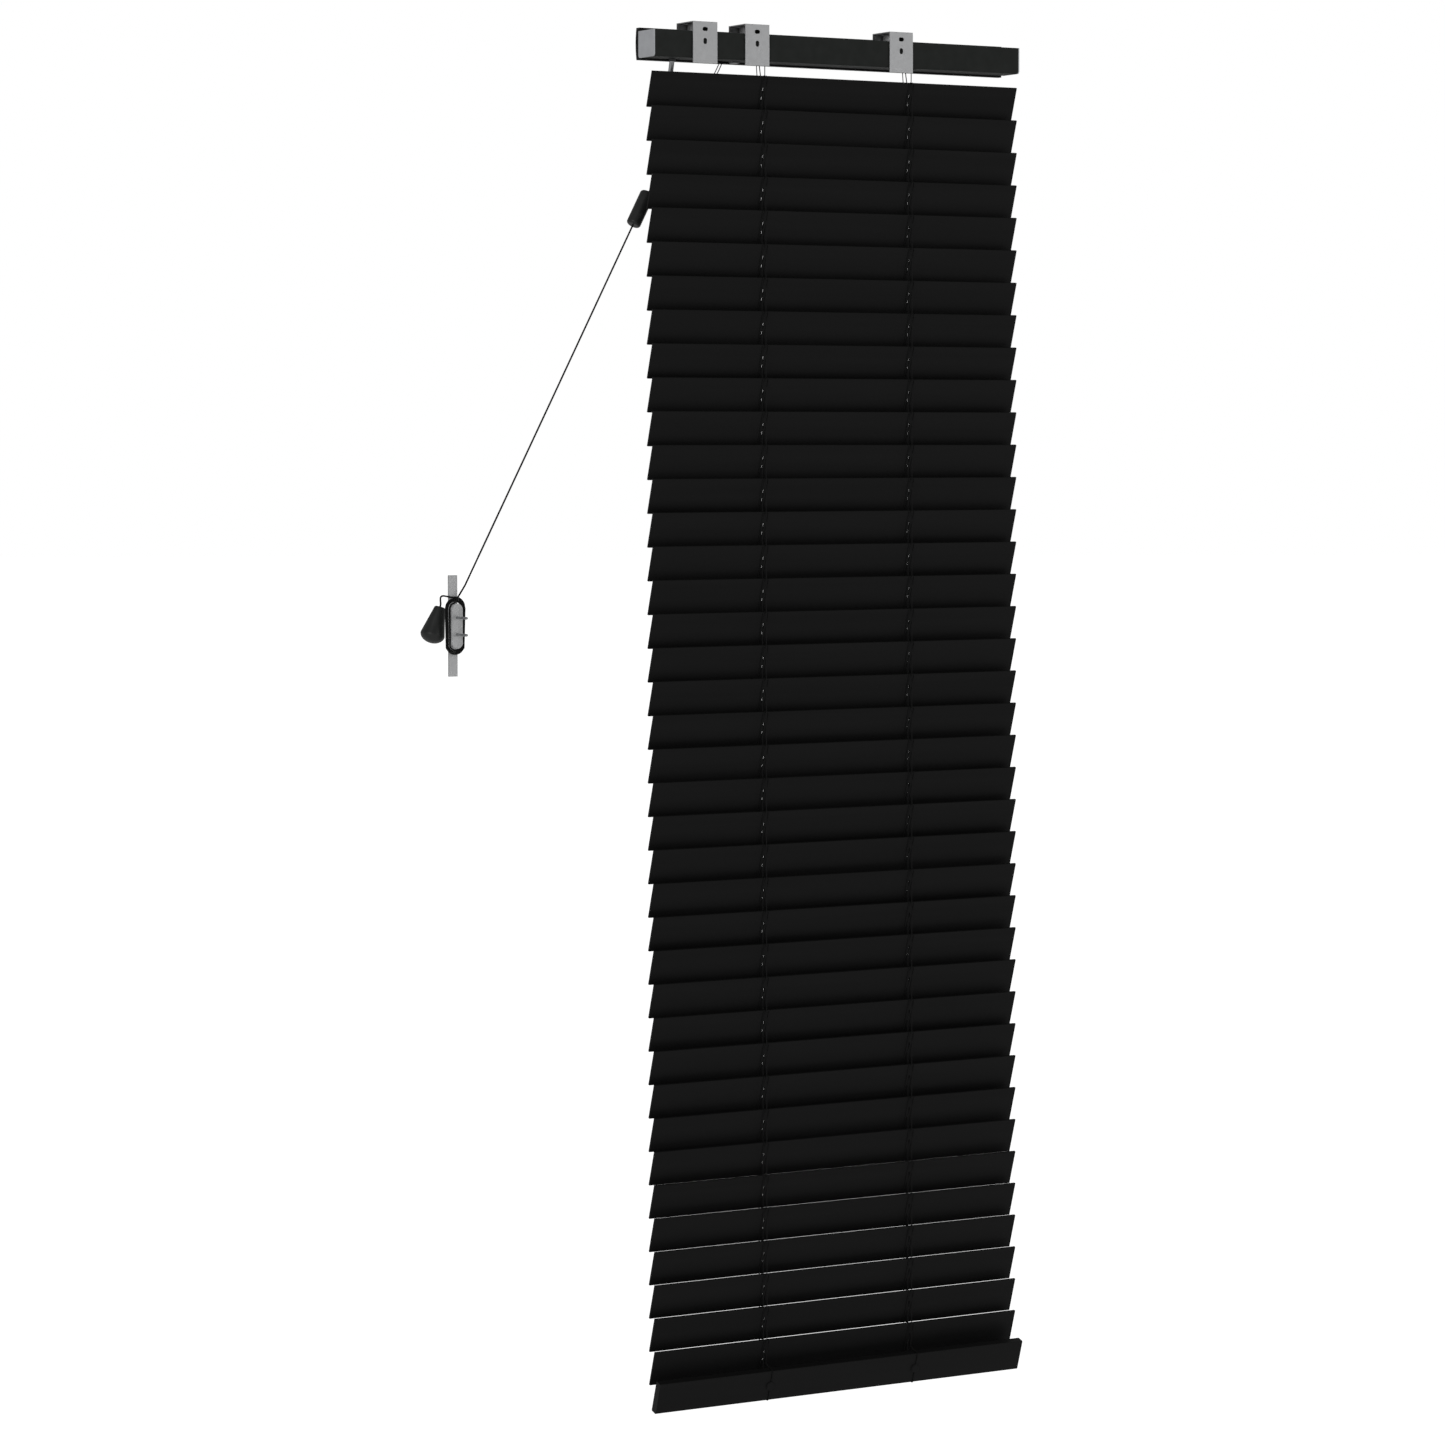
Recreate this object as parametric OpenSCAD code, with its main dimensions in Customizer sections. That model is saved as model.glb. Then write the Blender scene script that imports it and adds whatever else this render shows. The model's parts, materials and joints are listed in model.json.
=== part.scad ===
// Venetian blind for a wall: slatted blind, headrail with its works, wall brackets, pull cord and cleat.
// Origin: on the wall, midway between the upper screw slots of the two outer brackets.
// +X runs along the slats towards the control side, +Y points into the wall, +Z is up.

/* [Slats] */
// Number of slats
slat_count = 39; // [6:1:39]
// Length of a slat
slat_l = 597; // [560:1:700]
// Width of a slat
slat_w = 50; // [40:1:60]
// Thickness of a slat
slat_t = 2.8; // [2:0.1:3.2]
// Distance from one slat to the next
slat_pitch = 46.13; // [40:0.01:56]
// Tilt of the closed slats from level
closed_deg = 72.2; // [60:0.1:75]
// Distance between the two ladders
ladder_spacing = 240; // [200:1:280]
// Length of a route hole for the lift cord
route_l = 18; // [15:0.5:22]
// Width of a route hole
route_w = 2; // [2:0.1:6]

/* [Bottom rail] */
// Length of the bottom rail
rail_l = 600; // [560:1:700]
// Width of the bottom rail
rail_w = 45; // [38:1:52]
// Thickness of the bottom rail
rail_t = 11.5; // [10:0.5:14]
// Bevel along the edges of the bottom rail
rail_bevel = 1; // [0.5:0.1:2]
// Diameter of a plug's head
plug_d = 13.5; // [12:0.5:16]
// Diameter of a plug's stem
stem_d = 10; // [8:0.5:11]

/* [Headrail] */
// Length of the headrail
head_l = 595; // [595:1:700]
// Depth of the headrail from room side to wall side
head_d = 43; // [43:1:48]
// Height of the headrail
head_h = 36.5; // [36:0.5:42]
// Sheet thickness of the headrail
sheet = 1; // [0.8:0.1:1.2]
// Radius of the bends along its bottom
bend_r = 4; // [2:0.5:6]
// Width of the lips along its top
lip_w = 5; // [4:0.5:6]
// Gap between the headrail and the wall
wall_gap = 2.5; // [2:0.5:8]
// Height of the headrail's bottom over the top slat's axis
head_over_slat = 43.4; // [40:0.1:60]
// Thickness of an end cap
cap_t = 1.6; // [1:0.1:3]
// Height of the valance
valance_h = 43.8; // [40:0.1:60]
// Thickness of the valance at its edges
valance_t = 8.1; // [6:0.1:12]
// How far the valance's face is crowned
crown = 2.2; // [1:0.1:4]
// How far the valance hangs below the headrail
valance_drop = 2.1; // [0:0.1:6]

/* [Brackets] */
// Width of a bracket
bracket_w = 38.4; // [30:0.1:45]
// Height of a bracket's wall plate
bracket_h = 56.5; // [54:0.1:70]
// Thickness of a bracket's sheet
bracket_t = 1.5; // [1:0.1:2]
// Height of the upper slot over the top of the headrail
slot_over_head = 3.1; // [1:0.1:6]
// Length of a bracket's screw slot
slot_l = 8.4; // [7:0.1:12]
// Width of a bracket's screw slot
slot_w = 5.6; // [4:0.1:6]
// Distance from the upper slot down to the lower one
slot_drop = 16.3; // [12:0.1:20]
// Distance between the two outer brackets
bracket_span = 318; // [300:1:360]
// Distance from the control side's bracket to the middle one
bracket_step = 83; // [70:1:110]
// Distance from the control side's bracket to the blind's middle
bracket_reach = 220; // [200:1:222]

/* [Tilting works] */
// Side of the square tilt rod
rod_a = 6.35; // [5:0.05:8]
// Diameter of a ladder drum
drum_d = 24; // [20:0.5:26]
// Height of the tilt rod over the headrail's bottom
rod_over_head = 18.9; // [18:0.1:21]
// Offset of the tilt rod from the slats' axes towards the room
rod_offset = 4.6; // [3:0.1:6]
// Teeth on the worm wheel
wheel_teeth = 14; // [14:1:14]
// Distance between the worm's axis and the tilt rod
worm_distance = 10; // [10:0.1:10.6]
// Lean of the worm shaft towards the room
worm_lean = 15; // [12:0.5:17]
// Diameter of the worm shaft
shaft_d = 7; // [6:0.1:7.4]
// Length of the wand
wand_l = 1200; // [600:10:1500]
// Width of the six-sided wand across its corners
wand_d = 8.6; // [6:0.1:9]

/* [Cords] */
// Diameter of a ladder cord
ladder_d = 1.2; // [1:0.1:1.4]
// Gap between a slat's edge and the middle of the ladder cord beside it
ladder_gap = 2.5; // [2.2:0.1:3]
// Diameter of a lift cord
lift_d = 1.4; // [1.2:0.1:1.6]
// Diameter of the pull cord
pull_d = 2.4; // [1.8:0.1:2.4]
// Diameter of the cord connector
connector_d = 20; // [14:0.1:20]
// Length of the cord connector
connector_l = 52; // [40:0.5:54]
// Height of the tassel
tassel_h = 50; // [40:1:55]
// Diameter of the tassel
tassel_d = 33; // [26:1:34]

/* [Cord cleat] */
// Length over the cleat's two horns
cleat_l = 135; // [110:1:150]
// Width of a horn
horn_w = 12.5; // [10:0.5:15]
// Thickness of a horn
horn_t = 3.5; // [3:0.1:5]
// Width of the cleat's foot
foot_w = 16; // [15:0.5:20]
// Height of the cleat's foot
foot_h = 60; // [56:1:64]
// Distance between its two screws
screw_gap = 22.5; // [18:0.5:26]
// Diameter of a screw's shank
screw_d = 3.5; // [3:0.1:4]
// How far a screw stands out of the cleat's back
screw_out = 30; // [6:0.5:35]

/* [Hidden] */
$fn = 48;
NUDGE = 0.5;
// Clearances: loose between neighbours, running between a shaft and its bearing
loose = 0.3;
running = 0.05;

function slat_name(i) = str("slat_", i < 10 ? "0" : "", i);
SLAT_NODES = [for (i = [1:slat_count]) slat_name(i)];

// Brackets: the control side's one, the middle one and the far one
bracket_xs = [bracket_span / 2, bracket_span / 2 - bracket_step, -bracket_span / 2];
blind_x = bracket_span / 2 - bracket_reach;
ladder_xs = [blind_x + ladder_spacing / 2, blind_x - ladder_spacing / 2];

// Headrail's outer faces
head_wall_y = -wall_gap;
head_room_y = head_wall_y - head_d;
head_top_z = -slot_over_head;
head_bottom_z = head_top_z - head_h;
head_end = head_l / 2;

head_mid_y = (head_wall_y + head_room_y) / 2;

// Slat axes
slat_y = -16.5;
slat_top_z = head_bottom_z - head_over_slat;
slat_low_z = slat_top_z - (slat_count - 1) * slat_pitch;
edge_y = slat_w / 2 * cos(closed_deg);
edge_z = slat_w / 2 * sin(closed_deg);

// Bottom rail: hangs from a turning axis under the last slat
rail_drop = 33.6;
rail_hang = 13.8;
rail_z = slat_low_z - rail_drop;

// Tilt rod's axis
rod_y = slat_y - rod_offset;
rod_z = head_bottom_z + rod_over_head;

// Worm shaft: leans towards the room and passes the rod at worm_distance
tilter_x = 190;
worm_up = [0, sin(worm_lean), cos(worm_lean)];
worm_off = [0, cos(worm_lean), -sin(worm_lean)];
worm_mid = [tilter_x, rod_y, rod_z] - worm_distance * worm_off;
worm_lead = 3.2;
thread_l = 4 * worm_lead;
eye_reach = 62;
eye = worm_mid - eye_reach * worm_up;

// Cord lock: the cords turn down over a fixed pin, beside the roller
lock_x = 110;
lock_y = -36.5;
lock_w = 15;
lock_sheet = 1.2;
lock_pin = [lock_x, lock_y, -26];
roller_seat = [118.7, lock_y, -28.5];
roller_slant = 53;
roller_travel = 5;

// Cord lines. Lift cords: from the bottom rail's axis up, through the headrail to the connector
LIFT_NEAR = [
    [59, -16.5, rail_z], [59, -16.5, -900], [59, -16.5, -77], [59, -17.5, -70], [59, -24, -42],
    [59, -26, -37.5], [59.5, -29, -35.6], [62, -34, -35], [68, -37.5, -34.5], [80, -39.5, -32],
    [98, -40.5, -26.5], [105, -40.5, -23.6], [109, -40.5, -22.4], [112, -40.5, -23],
    [113.6, -40.5, -25.6], [113.7, -40.5, -34], [113.8, -40.5, -43], [118.5, -45, -56],
    [135, -51, -83], [160, -55, -126], [190, -57, -175.5], [211, -57.5, -212], [224, -55.4, -234]
];
LIFT_FAR = [
    [-181, -16.5, rail_z], [-181, -16.5, -900], [-181, -16.5, -77], [-181, -17.5, -70],
    [-181, -24, -42], [-181, -26, -37.5], [-180.5, -29, -35.6], [-178, -34, -35],
    [-172, -37, -34], [-150, -38, -31], [40, -38, -28], [75, -37.5, -26.5], [95, -33.5, -24.6],
    [105, -32.5, -23], [109, -32.5, -22.4], [112, -32.5, -23], [113.6, -32.5, -25.6],
    [113.7, -32.5, -34], [113.8, -32.5, -43], [118, -38, -56], [128, -45, -71],
    [140, -49, -91], [163, -53.5, -129], [190, -55, -174], [211, -55.6, -211], [224, -53.6, -233]
];

// Connector between the two lift cords and the pull cord
connector_mid = [231, -53.5, -244];
connector_round = 3.5;
cleat_mid = [542, 0, -807];
// Its turns lie round the cleat's waist in growing rounds, and the run comes in behind them
turn_y = -7.6;
turn_back_y = -4.4;
turn_r = 8.2;
turn_step = 2.45;
turn_reach = 23;
turn_count = 3;
cleat_entry = [cleat_mid[0] - 2, turn_back_y, cleat_mid[2] + turn_reach + turn_r];
pull_dir = unit(cleat_entry - connector_mid);

// Pull cord: a straight run to the cleat, its turns round the cleat, and a tail down to the tassel
TURN_POINTS = 14;
PULL_RUN = [connector_mid + 12 * pull_dir, connector_mid + 60 * pull_dir, [386, -29, -511], [527, -6.6, -753]];
PULL_TAIL = [[552, -12, -767.5], [554.5, -18, -767], [554.5, -24, -769], [552.6, -28.5, -773],
             [551.6, -30, -779.1], [554.5, -30, -788.7]];
tassel_top = [552.5, -30, -782];
tassel_lean = 17;

function unit(v) = v / norm(v);
function flat(v, t) = unit(v - (v * t) * t);

// A point of a turn: on a stadium whose radius grows by one step for each turn
function turn_point(k) =
    let (a = 360 * (k + 0.5) / TURN_POINTS, r = turn_r + turn_step * k / TURN_POINTS)
    let (y = turn_back_y + (turn_y - turn_back_y) * min(1, k / 8))
    [cleat_mid[0] + r * sin(a), y, cleat_mid[2] + r * cos(a) + (cos(a) >= 0 ? 1 : -1) * turn_reach];
PULL_ROUTE = concat(PULL_RUN, [for (k = [0:turn_count * TURN_POINTS]) turn_point(k)], PULL_TAIL);

// A cord: one skin swept along a list of points
module cord(route, d, sides = 8) {
    n = len(route);
    ts = [for (i = [0:n - 1]) unit(route[min(i + 1, n - 1)] - route[max(i - 1, 0)])];
    us = [for (i = 0, u = flat([0.3, 1, 0.1], ts[0]); i < n; i = i + 1, u = i < n ? flat(u, ts[i]) : u) u];
    rings = [
        for (i = [0:n - 1]) for (k = [0:sides - 1])
            let (a = 360 * k / sides)
            route[i] + d / 2 * (cos(a) * us[i] + sin(a) * cross(ts[i], us[i]))
    ];
    skin = [
        for (i = [0:n - 2]) for (k = [0:sides - 1])
            let (m = (k + 1) % sides)
            [i * sides + k, i * sides + m, (i + 1) * sides + m, (i + 1) * sides + k]
    ];
    ends = [[for (k = [sides - 1:-1:0]) k], [for (k = [0:sides - 1]) (n - 1) * sides + k]];
    polyhedron(rings, [for (f = concat(skin, ends)) [for (k = [len(f) - 1:-1:0]) f[k]]]);
}

// A stadium on the XY plane, length l over its ends, width w
module slot_2d(l, w) {
    square([l - w, w], center = true);
    for (s = [-1, 1]) translate([s * (l - w) / 2, 0]) circle(d = w);
}

// Extrudes an outline drawn in Y and Z along X, centred
module along_x(l) {
    rotate([90, 0, 90]) linear_extrude(height = l, center = true) children();
}

// Turns a cylinder or an outline so that its axis runs along Y
module along_y() {
    rotate([90, 0, 0]) children();
}

module slat(i) {
    color("#161616")
        translate([blind_x, slat_y, slat_top_z - (i - 1) * slat_pitch])
            rotate([closed_deg, 0, 0])
                difference() {
                    cube([slat_l, slat_w, slat_t], center = true);
                    for (s = [-1, 1])
                        translate([s * ladder_spacing / 2, 0, -slat_t])
                            linear_extrude(height = 2 * slat_t) rotate(90) slot_2d(route_l, route_w);
                }
}

// Bottom rail with its two plugs, which cover the cords' knots
module rail_outline() {
    half_w = rail_w / 2;
    half_t = rail_t / 2;
    polygon([
        [-half_w, -half_t + rail_bevel], [-half_w + rail_bevel, -half_t],
        [half_w - rail_bevel, -half_t], [half_w, -half_t + rail_bevel],
        [half_w, half_t - rail_bevel], [half_w - rail_bevel, half_t],
        [-half_w + rail_bevel, half_t], [-half_w, half_t - rail_bevel]
    ]);
}

module bottom_rail() {
    pocket = rail_t - 4;
    color("#161616")
        translate([blind_x, slat_y, rail_z])
            rotate([closed_deg, 0, 0])
                translate([0, 0, -rail_hang]) {
                    difference() {
                        along_x(rail_l) rail_outline();
                        for (s = [-1, 1])
                            translate([s * ladder_spacing / 2, 0, 0]) {
                                translate([0, 0, -rail_t]) cylinder(d = 5, h = 2 * rail_t);
                                translate([0, 0, -rail_t / 2 - NUDGE])
                                    cylinder(d = stem_d + 2 * running, h = pocket + NUDGE);
                            }
                    }
                    for (s = [-1, 1])
                        translate([s * ladder_spacing / 2, 0, -rail_t / 2]) plug(pocket - 2);
                }
}

module plug(stem_l) {
    difference() {
        union() {
            cylinder(d = stem_d - 2 * running, h = stem_l);
            translate([0, 0, -2.2]) cylinder(d1 = plug_d - 3, d2 = plug_d, h = 1.4);
            translate([0, 0, -0.8]) cylinder(d = plug_d, h = 0.7);
            translate([0, 0, -0.2]) cylinder(d = stem_d - 2 * running, h = 0.4);
        }
        translate([0, 0, 1]) cylinder(d = 6, h = stem_l);
    }
}

// Outline of the headrail's outside: square at the top, rounded along the bottom
module head_outline(w, h, r) {
    translate([-w / 2, r]) square([w, h - r]);
    translate([-w / 2 + r, 0]) square([w - 2 * r, h]);
    for (s = [-1, 1]) translate([s * (w / 2 - r), r]) circle(r = r);
}

// The room inside the headrail, less a clearance, from one X to another
module head_room(from_x, to_x) {
    gap = sheet + 0.1;
    translate([(from_x + to_x) / 2, head_mid_y, head_bottom_z + gap])
        along_x(to_x - from_x) head_outline(head_d - 2 * gap, head_h - gap, bend_r - sheet);
}

module headrail_profile() {
    difference() {
        head_outline(head_d, head_h, bend_r);
        translate([0, sheet]) head_outline(head_d - 2 * sheet, head_h, bend_r - sheet);
    }
    for (s = [-1, 1])
        translate([s * (head_d / 2 - lip_w / 2), head_h - sheet / 2])
            square([lip_w, sheet], center = true);
}

ladder_hole = [16, 30];
lock_hole = [38, 12];
tilter_hole = [16, 14];

// Lug welded on the channel's lip, which fills the bracket under its top plate
module lug(x) {
    lug_w = 17;
    lug_t = 6;
    lug_y = -9.5;
    foot_y = -6;
    foot_h = 1.5;
    weld = 0.2;
    translate([x - lug_w + 1.5, 0, head_top_z]) {
        translate([0, lug_y - lug_t, loose])
            cube([lug_w, lug_t, bracket_top_z - bracket_t - 2 * loose - head_top_z]);
        translate([0, lug_y - 0.5, -weld]) cube([lug_w, foot_y - lug_y + 0.5, foot_h + weld]);
    }
}

module headrail() {
    exit_y = (eye + (head_bottom_z - eye[2]) / worm_up[2] * worm_up)[1];
    color("#262826") for (x = bracket_xs) lug(x);
    color("#262826")
        difference() {
            translate([blind_x, head_mid_y, head_bottom_z]) along_x(head_l) headrail_profile();
            for (x = ladder_xs)
                translate([x, rod_y, head_bottom_z])
                    cube([ladder_hole[0], ladder_hole[1], 3 * sheet], center = true);
            translate([lock_x + 4, lock_y, head_bottom_z])
                cube([lock_hole[0], lock_hole[1], 3 * sheet], center = true);
            translate([tilter_x, exit_y, head_bottom_z])
                cube([tilter_hole[0], tilter_hole[1], 3 * sheet], center = true);
        }
}

// Valance: a board with a crowned face, clipped on the headrail's room side
module valance_profile() {
    r = (valance_h * valance_h / 4 + crown * crown) / (2 * crown);
    intersection() {
        translate([-valance_t - crown, 0]) square([valance_t + crown, valance_h]);
        translate([-valance_t - crown + r, valance_h / 2]) circle(r = r, $fn = 200);
    }
}

module valance() {
    color("#1a1b1a")
        translate([blind_x, head_room_y - loose, head_bottom_z - valance_drop])
            along_x(head_l) valance_profile();
}

// End caps: a plate over each end and a rim inside the channel
module headrail_end_caps() {
    rim = 8;
    fit = sheet + loose;
    color("#97989c")
        for (s = [-1, 1])
            translate([blind_x, head_mid_y, head_bottom_z]) mirror([s < 0 ? 1 : 0, 0, 0]) {
                translate([head_end + cap_t / 2, 0, 0]) along_x(cap_t) head_outline(head_d, head_h, bend_r);
                difference() {
                    translate([head_end - rim / 2, 0, fit])
                        along_x(rim + cap_t) head_outline(head_d - 2 * fit, head_h - 2 * fit - sheet, bend_r - sheet);
                    translate([head_end - rim / 2 - NUDGE, 0, fit + cap_t])
                        along_x(rim + NUDGE)
                            head_outline(head_d - 2 * fit - 2 * cap_t, head_h - 2 * fit - 2 * cap_t - sheet, 1);
                }
            }
}

// Wall bracket: a wall plate, a top plate, a front flange, and two tongues that grip the channel's lips
bracket_top_z = 10.2;
tongue_w = 9;

module bracket(x) {
    depth = head_d + wall_gap - loose - 0.2;
    flange_bottom = head_top_z + loose;
    tongue_bottom = head_top_z - sheet - loose - bracket_t;
    lip_inner = [head_wall_y - lip_w, head_room_y + lip_w];
    translate([x, 0, 0])
        difference() {
            union() {
                translate([-bracket_w / 2, -bracket_t, bracket_top_z - bracket_h])
                    cube([bracket_w, bracket_t, bracket_h]);
                translate([-bracket_w / 2, -depth, bracket_top_z - bracket_t])
                    cube([bracket_w, depth, bracket_t]);
                translate([-bracket_w / 2, -depth, flange_bottom])
                    cube([bracket_w, bracket_t, bracket_top_z - flange_bottom]);
                for (k = [0, 1]) {
                    side = k == 0 ? -1 : 1;
                    leg_y = lip_inner[k] + side * (loose + bracket_t / 2);
                    leg_x = k == 0 ? 7.5 : 0;
                    translate([leg_x, leg_y, (tongue_bottom + bracket_top_z) / 2])
                        cube([tongue_w, bracket_t, bracket_top_z - tongue_bottom], center = true);
                    translate([leg_x, leg_y - side * 1.5, tongue_bottom + bracket_t / 2])
                        cube([tongue_w, bracket_t + 3, bracket_t], center = true);
                }
            }
            translate([0, NUDGE, 0]) along_y() linear_extrude(height = bracket_t + 2 * NUDGE) slot_2d(slot_l, slot_w);
            translate([0, NUDGE, -slot_drop])
                along_y() linear_extrude(height = bracket_t + 2 * NUDGE) rotate(90) slot_2d(slot_l, slot_w);
            for (y = [-14, -depth + 9])
                translate([10, y, bracket_top_z - bracket_t - NUDGE])
                    linear_extrude(height = bracket_t + 2 * NUDGE) slot_2d(slot_l, slot_w);
            translate([-bracket_w / 2 + 9, -depth - NUDGE, bracket_top_z - 5])
                rotate([-90, 0, 0]) linear_extrude(height = bracket_t + 2 * NUDGE) slot_2d(7, 3);
            // Relief notches at the ends of the top bend
            for (s = [-1, 1])
                translate([s * 9, 0, bracket_top_z]) cube([3, 3, 2], center = true);
        }
}

module wall_brackets() {
    color("#a0a1a3") for (x = bracket_xs) bracket(x);
}

rod_from = -200;
rod_to = 205;

module tilt_rod() {
    color("#8d9094")
        translate([(rod_from + rod_to) / 2, rod_y, rod_z])
            cube([rod_to - rod_from, rod_a, rod_a], center = true);
}

// Ladder drums and worm wheel: round pieces with a square hole, driven by the rod
flange_d = drum_d + 2.4;
drum_l = 12;
hub_d = 12;
hub_l = 5;

module square_hole(l) {
    cube([l, rod_a + 2 * running, rod_a + 2 * running], center = true);
}

module drum() {
    difference() {
        rotate([0, 90, 0]) {
            cylinder(d = drum_d, h = drum_l, center = true);
            for (s = [-1, 1]) translate([0, 0, s * (drum_l / 2 - 0.6)]) cylinder(d = flange_d, h = 1.2, center = true);
            cylinder(d = hub_d, h = drum_l + 2 * hub_l, center = true);
        }
        square_hole(drum_l + 2 * hub_l + 1);
    }
}

wheel_w = 3;
wheel_root = 5.7;
wheel_tip = 7.8;

module worm_wheel() {
    difference() {
        rotate([90 - worm_lean, 0, 0]) rotate([0, 90, 0]) {
            linear_extrude(height = wheel_w, center = true) {
                circle(r = wheel_root);
                for (k = [0:wheel_teeth - 1])
                    rotate(360 * k / wheel_teeth)
                        polygon([[wheel_root - 0.6, -0.75], [wheel_tip, -0.3], [wheel_tip, 0.3], [wheel_root - 0.6, 0.75]]);
            }
            cylinder(d = 10, h = 16, center = true);
        }
        square_hole(17);
    }
}

module ladder_drums_and_worm_wheel() {
    color("#d8d8d2") {
        for (x = ladder_xs) translate([x, rod_y, rod_z]) drum();
        translate([tilter_x, rod_y, rod_z]) worm_wheel();
    }
}

// Cradle: carries a drum's two hubs and guides the cords through the headrail's floor
cradle_h = 26;
cradle_w = 28;
cradle_t = 2.5;

module cradle(x) {
    floor_z = head_bottom_z + sheet + 0.1;
    wall_x = drum_l / 2 + 0.8 + cradle_t / 2;
    translate([x, rod_y, floor_z])
        difference() {
            union() {
                translate([0, 0, 0.75]) cube([2 * wall_x + cradle_t, cradle_w, 1.5], center = true);
                for (s = [-1, 1])
                    translate([s * wall_x, 0, cradle_h / 2]) cube([cradle_t, cradle_w, cradle_h], center = true);
            }
            translate([0, 0, 0.75]) cube([8, cradle_w - 1.6, 3], center = true);
            translate([0, 0, rod_z - floor_z])
                rotate([0, 90, 0]) cylinder(d = hub_d + 2 * running, h = 4 * wall_x, center = true);
            // The lift cord leaves between the floor and the drum
            translate([wall_x, -cradle_w / 2, 3.4]) cube([cradle_t + 2, 14, 4], center = true);
        }
}

module drum_cradles() {
    color("#c9c9c4") for (x = ladder_xs) cradle(x);
}

// Tilter: a housing round the worm wheel and the worm
housing_l = 20;
housing_wall = 2;

module tilter_housing() {
    y0 = head_room_y + sheet + loose;
    y1 = rod_y + 11.5;
    z0 = head_bottom_z + sheet + loose;
    z1 = head_top_z - 2.5;
    wheel_room = 2 * (wheel_tip + 0.6);
    color("#2b2c2e")
        difference() {
            union() {
                intersection() {
                    translate([tilter_x - housing_l / 2, y0, z0]) cube([housing_l, y1 - y0, z1 - z0]);
                    head_room(tilter_x - housing_l, tilter_x + housing_l);
                }
                on_worm_axis() translate([0, 0, -24.5]) cylinder(d = 9.6, h = 8);
            }
            // Room for the wheel, its hubs and the worm
            translate([tilter_x, rod_y, rod_z])
                rotate([0, 90, 0]) cylinder(d = wheel_room, h = wheel_w + 2.4, center = true);
            translate([tilter_x, rod_y, rod_z])
                rotate([0, 90, 0]) cylinder(d = 10 + 2 * running, h = housing_l + 1, center = true);
            on_worm_axis() translate([0, 0, -thread_l / 2 - 1]) cylinder(d = 9.2, h = thread_l + 2);
            on_worm_axis() translate([0, 0, -30]) cylinder(d = shaft_d + 2 * running, h = 30);
            on_worm_axis() cylinder(d = 4 + 2 * running, h = 12);
        }
}

// Moves a piece drawn along Z on to the worm's axis, with its X towards the wheel
module on_worm_axis() {
    translate(worm_mid) rotate([-worm_lean, 0, 0]) rotate(90) children();
}

// Worm with its shaft, and an eye at the shaft's lower end for the wand's ring
eye_d = 9;
eye_hole = 5;
eye_t = 2;

module tilter_worm() {
    turns = thread_l / worm_lead;
    color("#8a8c90")
        on_worm_axis() {
            translate([0, 0, -thread_l / 2])
                rotate(180 + 180 * turns)
                    linear_extrude(height = thread_l, twist = -360 * turns, slices = 8 * turns)
                        translate([1, 0]) circle(r = 2.9, $fn = 16);
            cylinder(d = 4, h = 11);
            translate([0, 0, -thread_l / 2 - 1]) cylinder(d = 4, h = thread_l);
            translate([0, 0, -eye_reach + 6]) cylinder(d = shaft_d, h = eye_reach - 6 - thread_l / 2 - 1);
            translate([0, 0, -eye_reach + 3.6]) cylinder(d1 = 4, d2 = shaft_d, h = 2.6);
            translate([0, 0, -eye_reach])
                rotate([0, 90, 0])
                    difference() {
                        cylinder(d = eye_d, h = eye_t, center = true);
                        cylinder(d = eye_hole, h = eye_t + 1, center = true);
                    }
        }
}

// Wand: a wire ring through the eye, a ferrule and a six-sided rod with a round end
ring_r = 4;
ring_wire = 2;

module tilt_wand() {
    top = -ring_r - ring_r - 3;
    color("#202122")
        translate(eye) {
            translate([0, 0, -ring_r]) rotate([0, 90, 0]) rotate_extrude() translate([ring_r, 0]) circle(d = ring_wire);
            translate([0, 0, -2 * ring_r - 3.6]) cylinder(d = 3, h = 3.4);
            translate([0, 0, top - 15]) cylinder(d = wand_d, h = 15);
            translate([0, 0, top - wand_l + 20]) cylinder(d = wand_d, h = wand_l - 30, $fn = 6);
            translate([0, 0, top - wand_l + 4]) cylinder(d = wand_d + 0.6, h = 24);
            translate([0, 0, top - wand_l]) cylinder(d1 = wand_d - 3, d2 = wand_d + 0.6, h = 4.01);
        }
}

// Cord lock: a sheet-metal cage with a fixed pin, and slanted slots for the roller
lock_from = 92;
lock_to = 127;
lock_h = 23;

module cord_lock() {
    z0 = head_bottom_z + sheet + 0.1;
    dx = roller_travel * cos(roller_slant);
    dz = roller_travel * sin(roller_slant);
    color("#b4b6b8")
        difference() {
            union() {
                intersection() {
                    union() {
                        for (s = [-1, 1])
                            translate([(lock_from + lock_to) / 2, lock_y + s * (lock_w - lock_sheet) / 2, z0 + lock_h / 2])
                                cube([lock_to - lock_from, lock_sheet, lock_h], center = true);
                        translate([lock_from - 9, lock_y - lock_w / 2, z0])
                            cube([lock_to - lock_from + 9, lock_w, lock_sheet]);
                    }
                    head_room(lock_from - 10, lock_to + 1);
                }
                // Tongue through the headrail's floor, bent back under it
                translate([lock_from + 4, lock_y - 5, head_bottom_z - 1.6]) cube([lock_sheet, 10, 4]);
                translate([lock_from - 6, lock_y - 5, head_bottom_z - 1.6]) cube([10 + lock_sheet, 10, 1.2]);
                translate(lock_pin) along_y() cylinder(d = 5, h = lock_w - 1, center = true);
            }
            // Way out for the cords
            translate([114, lock_y, z0]) cube([9, lock_w - 2 * lock_sheet - 1, 4], center = true);
            // Slots for the roller's axle
            translate(roller_seat + [dx / 2, 0, dz / 2])
                along_y() linear_extrude(height = lock_w + 2, center = true)
                    rotate(roller_slant) slot_2d(roller_travel + 3.2, 3.2);
        }
}

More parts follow.
